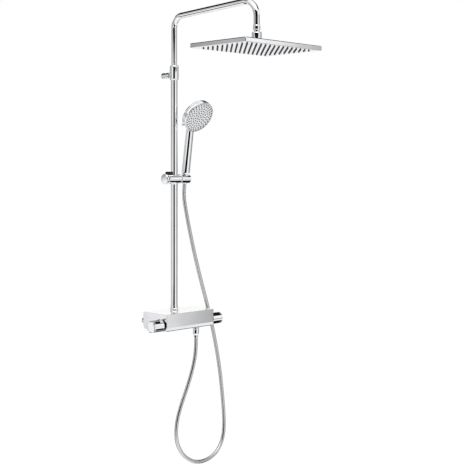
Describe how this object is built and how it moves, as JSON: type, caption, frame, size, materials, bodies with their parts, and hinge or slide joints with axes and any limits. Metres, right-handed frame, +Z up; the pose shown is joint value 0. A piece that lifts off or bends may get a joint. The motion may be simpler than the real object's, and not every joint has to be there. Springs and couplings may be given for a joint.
{
  "type": "rainfall shower column",
  "caption": "Wall mounted rainfall shower column with a thermostatic shelf mixer, telescopic riser, rectangular overhead rain head and a hand shower on a sliding holder",
  "frame": {"origin": "on the wall, midway between the two water inlets", "axes": "X to the right along the wall, -Y out of the wall towards the user, Z up"},
  "size_m": [0.3969, 0.601, 1.6031],
  "materials": {
    "polished_chrome": "mirror polished chrome plating",
    "white_glass": "back-painted white glass shelf",
    "cast_brass": "cast and machined brass",
    "black_rubber": "moulded black rubber",
    "nozzle_silicone": "moulded silicone nozzles",
    "machined_steel": "machined stainless steel",
    "dark_plastic": "moulded dark acetal",
    "face_plastic": "moulded light grey plastic",
    "steel_hose": "interlocked stainless steel spiral hose"
  },
  "bodies": {
    "root": {"shelf_casing": "polished_chrome", "shelf_tray": "white_glass", "end_cap_left": "polished_chrome", "end_cap_right": "polished_chrome", "casing_screws": "machined_steel", "valve_body": "cast_brass", "thermostat_cartridge": "cast_brass", "diverter_cartridge": "cast_brass", "stop_rings": "dark_plastic", "wall_unions": "polished_chrome", "filter_washers": "black_rubber", "union_nuts": "polished_chrome", "wall_sleeves": "polished_chrome", "riser_tube": "polished_chrome", "riser_base_nut": "polished_chrome", "riser_seal": "black_rubber", "bracket_collar": "polished_chrome", "collar_bush": "dark_plastic", "collar_set_screw": "machined_steel", "wall_stub": "machined_steel", "hose_nut": "polished_chrome", "hose_washer": "black_rubber", "hose_main": "steel_hose"},
    "temperature_control": {"temperature_knob": "polished_chrome", "temperature_knob_cap": "polished_chrome", "temperature_spindle": "machined_steel", "temperature_knob_screw": "machined_steel", "button_spring": "machined_steel"},
    "safety_stop": {"safety_button": "dark_plastic"},
    "flow_control": {"flow_knob": "polished_chrome", "flow_knob_cap": "polished_chrome", "flow_spindle": "machined_steel", "flow_knob_screw": "machined_steel"},
    "pipe_guide": {"foot_guide": "cast_brass", "guide_seals": "black_rubber"},
    "overhead_arm": {"overhead_pipe": "polished_chrome", "pipe_ferrule": "polished_chrome", "pipe_nipple": "polished_chrome", "ball_nut": "polished_chrome"},
    "ball_seat": {"ball_seat_ring": "dark_plastic"},
    "rain_head": {"head_swivel": "polished_chrome", "head_shell": "polished_chrome", "head_face": "machined_steel", "nozzle_mat": "nozzle_silicone"},
    "slider": {"slider_body": "polished_chrome", "slider_liner": "dark_plastic", "clamp_pad": "dark_plastic", "friction_washer": "dark_plastic", "holder_axle": "machined_steel", "hose_bend": "steel_hose"},
    "slider_clamp": {"clamp_knob": "polished_chrome"},
    "slider_release": {"release_button": "dark_plastic"},
    "handset_holder": {"handset_holder": "polished_chrome", "hose_top": "steel_hose"},
    "handset": {"cone_nut": "polished_chrome", "handset_shell": "polished_chrome", "spray_core": "dark_plastic", "spray_face": "face_plastic"},
    "spray_selector": {"selector_ring": "polished_chrome"}
  },
  "joints": [
    {"name": "temperature_turn", "type": "hinge", "parent": "root", "child": "temperature_control", "pos_m": [0, -0.118, 0], "axis": [1, 0, 0], "range_deg": [-60, 120]},
    {"name": "safety_push", "type": "slide", "parent": "temperature_control", "child": "safety_stop", "axis": [0, 0, -1], "range_m": [0, 0.0015], "stiffness_N_per_m": 600, "springref_m": -0.001, "deforming": ["button_spring"]},
    {"name": "flow_turn", "type": "hinge", "parent": "root", "child": "flow_control", "pos_m": [0, -0.118, 0], "axis": [1, 0, 0], "range_deg": [-90, 90]},
    {"name": "column_height", "type": "slide", "parent": "root", "child": "pipe_guide", "axis": [0, 0, 1], "range_m": [-0.1, 0.15]},
    {"name": "arm_swivel", "type": "hinge", "parent": "pipe_guide", "child": "overhead_arm", "pos_m": [0, -0.058, 0.62], "axis": [0, 0, 1], "range_deg": [-45, 45]},
    {"name": "head_tilt", "type": "hinge", "parent": "overhead_arm", "child": "ball_seat", "pos_m": [0, -0.458, 0.959], "axis": [1, 0, 0], "range_deg": [-12, 12]},
    {"name": "head_roll", "type": "hinge", "parent": "ball_seat", "child": "rain_head", "pos_m": [0, -0.458, 0.959], "axis": [0, 1, 0], "range_deg": [-12, 12]},
    {"name": "slider_height", "type": "slide", "parent": "root", "child": "slider", "axis": [0, 0, 1], "range_m": [-0.15, 0.25], "deforming": ["hose_main"]},
    {"name": "clamp_turn", "type": "hinge", "parent": "slider", "child": "slider_clamp", "pos_m": [0, -0.058, 0.4973], "axis": [1, 0, 0], "range_deg": [0, 180]},
    {"name": "release_push", "type": "slide", "parent": "slider", "child": "slider_release", "axis": [0, 0, -1], "range_m": [0, 0.002], "stiffness_N_per_m": 600, "springref_m": -0.001},
    {"name": "holder_tilt", "type": "hinge", "parent": "slider", "child": "handset_holder", "pos_m": [0, -0.058, 0.4973], "axis": [1, 0, 0], "range_deg": [-5, 30], "deforming": ["hose_bend"]},
    {"name": "handset_lift", "type": "slide", "parent": "handset_holder", "child": "handset", "axis": [0, -0.1478, 0.989], "range_m": [0, 0.03], "deforming": ["hose_top"]},
    {"name": "spray_select", "type": "hinge", "parent": "handset", "child": "spray_selector", "pos_m": [0.048, -0.136, 0.712], "axis": [0, -0.829, -0.5592], "range_deg": [-20, 20]}
  ]
}
